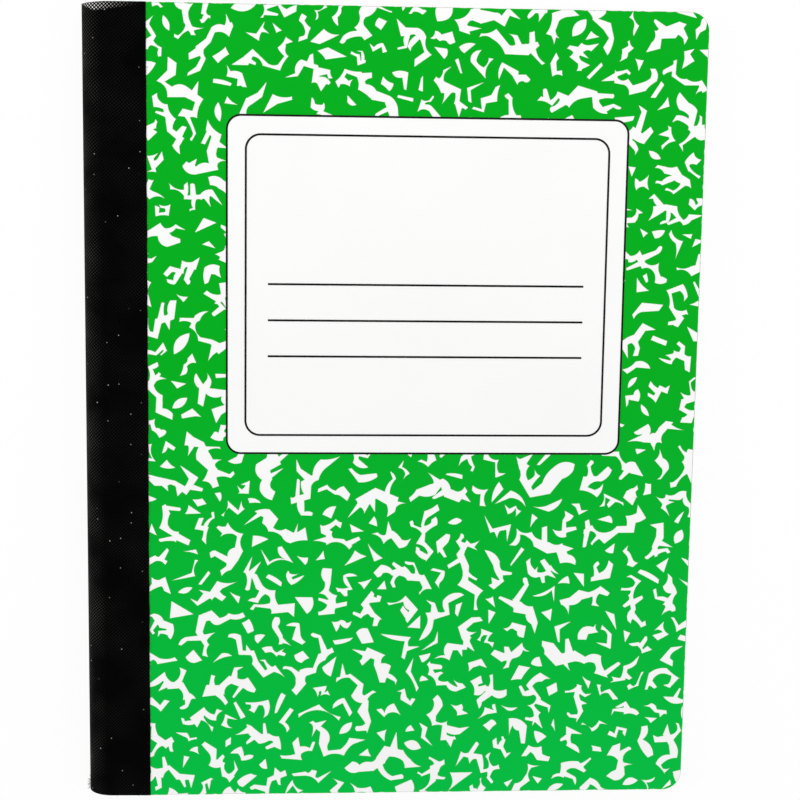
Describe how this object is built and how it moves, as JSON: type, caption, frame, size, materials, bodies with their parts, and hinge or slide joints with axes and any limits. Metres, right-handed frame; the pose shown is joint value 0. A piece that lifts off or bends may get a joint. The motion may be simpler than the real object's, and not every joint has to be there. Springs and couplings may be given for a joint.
{
  "type": "composition notebook",
  "caption": "Sewn composition notebook with marbled board covers, round fore-edge corners, a blank name panel and a black cloth spine tape.",
  "frame": {"origin": "middle of the underside, under the centre of the closed notebook", "axes": "+Z out of the front cover, +Y from the tail to the head, +X from the spine to the fore-edge"},
  "size_m": [0.1905, 0.2476, 0.0108],
  "materials": {
    "leaves": "matte",
    "thread": "matte",
    "board": "satin",
    "tape": "satin",
    "green_ink": "satin",
    "black_ink": "satin"
  },
  "bodies": {
    "pages": {"page_block": "leaves", "sewing_thread": "thread", "cover_spine": "board", "spine_tape": "tape"},
    "front_board": {"front_cover": "board", "front_tape": "tape", "front_marbling": "green_ink", "panel_lines": "black_ink"},
    "back_board": {"back_cover": "board", "back_tape": "tape", "back_marbling": "green_ink"}
  },
  "joints": [
    {"name": "front_cover_fold", "type": "hinge", "parent": "pages", "child": "front_board", "pos_m": [-0.08985, 0, 0.0108], "axis": [0, -1, 0], "range_deg": [0, 179]},
    {"name": "back_cover_fold", "type": "hinge", "parent": "pages", "child": "back_board", "pos_m": [-0.08985, 0, 0], "axis": [0, 1, 0], "range_deg": [0, 179]}
  ]
}
